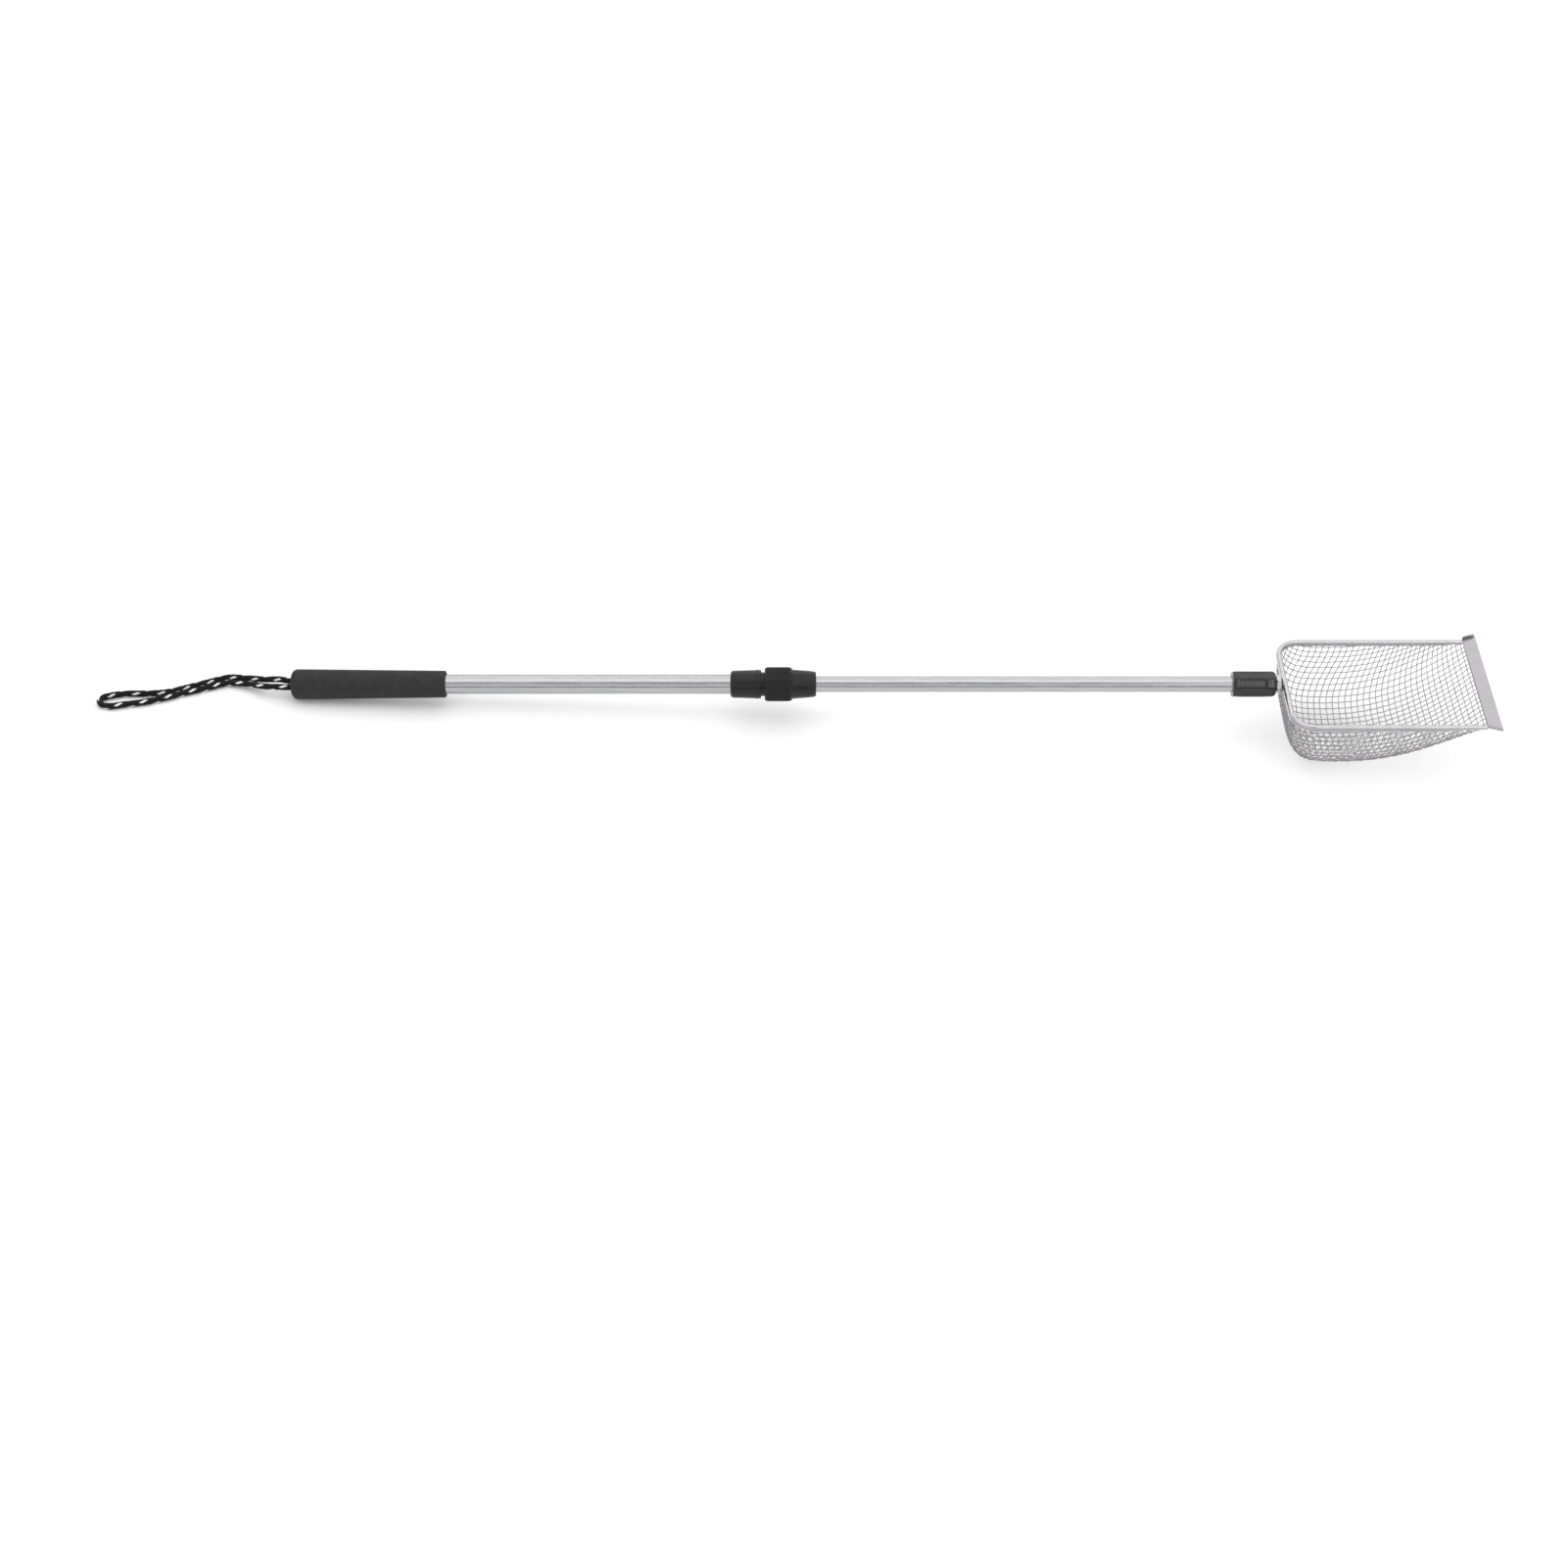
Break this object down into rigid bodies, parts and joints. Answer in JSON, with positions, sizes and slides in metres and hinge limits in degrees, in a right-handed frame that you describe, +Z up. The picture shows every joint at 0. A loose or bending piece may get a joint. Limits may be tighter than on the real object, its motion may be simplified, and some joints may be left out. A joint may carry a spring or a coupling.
{
  "type": "telescopic skimmer scoop",
  "caption": "Telescopic hand skimmer: rimmed wire-mesh scoop with a flat lip on a two-tube pole with a twist lock, rubber grip and wrist cord.",
  "frame": {"origin": "middle of the box of the tool without its cord, on the floor that it lies on", "axes": "+X towards the scoop's lip, +Z up out of the open basket, +Y to the left of a user who looks towards the lip"},
  "size_m": [1.1318, 0.118, 0.0708],
  "materials": {
    "grip_rubber": "fine leather-like texture, matt",
    "black_plastic": "moulded, low sheen",
    "lock_plastic": "moulded, low sheen",
    "natural_plastic": "natural acetal",
    "outer_aluminium": "anodised, semi-bright",
    "inner_aluminium": "anodised, semi-bright",
    "rim_steel": "polished stainless steel",
    "lip_steel": "satin stainless steel",
    "mesh_steel": "woven stainless wire",
    "insert_brass": "turned",
    "seal_rubber": "matt",
    "cord_braid": "black braid with white tracer"
  },
  "bodies": {
    "handle": {"grip": "grip_rubber", "end_plug": "black_plastic", "cord_knot": "cord_braid", "outer_tube": "outer_aluminium", "lock_body": "lock_plastic", "collet": "natural_plastic", "wrist_cord": "cord_braid"},
    "nut_carrier": {"thrust_ring": "natural_plastic"},
    "nut": {"lock_nut": "lock_plastic", "wiper_seal": "seal_rubber"},
    "guide": {"guide_bush": "natural_plastic"},
    "extension": {"inner_tube": "inner_aluminium", "end_cap": "black_plastic", "threaded_insert": "insert_brass", "scoop_stud": "rim_steel", "jam_nut": "rim_steel", "rim_channel": "rim_steel", "scoop_lip": "lip_steel", "mesh_strip": "lip_steel", "mesh_basket": "mesh_steel"}
  },
  "joints": [
    {"name": "telescope", "type": "slide", "parent": "handle", "child": "guide", "axis": [0.9985, 0, 0.0556], "range_m": [-0.33, 0]},
    {"name": "scoop_swivel", "type": "hinge", "parent": "guide", "child": "extension", "pos_m": [-0.08866, 0, 0.03412], "axis": [0.9985, 0, 0.0556], "continuous": true},
    {"name": "lock_advance", "type": "slide", "parent": "handle", "child": "nut_carrier", "axis": [0.9985, 0, 0.0556], "range_m": [0, 0.0015]},
    {"name": "lock_turn", "type": "hinge", "parent": "nut_carrier", "child": "nut", "pos_m": [-0.09165, 0, 0.03395], "axis": [0.9985, 0, 0.0556], "range_deg": [0, 180]}
  ],
  "couplings": [
    {"joint": "lock_advance", "follows": "lock_turn", "m_per_rad": 0.00047746}
  ]
}
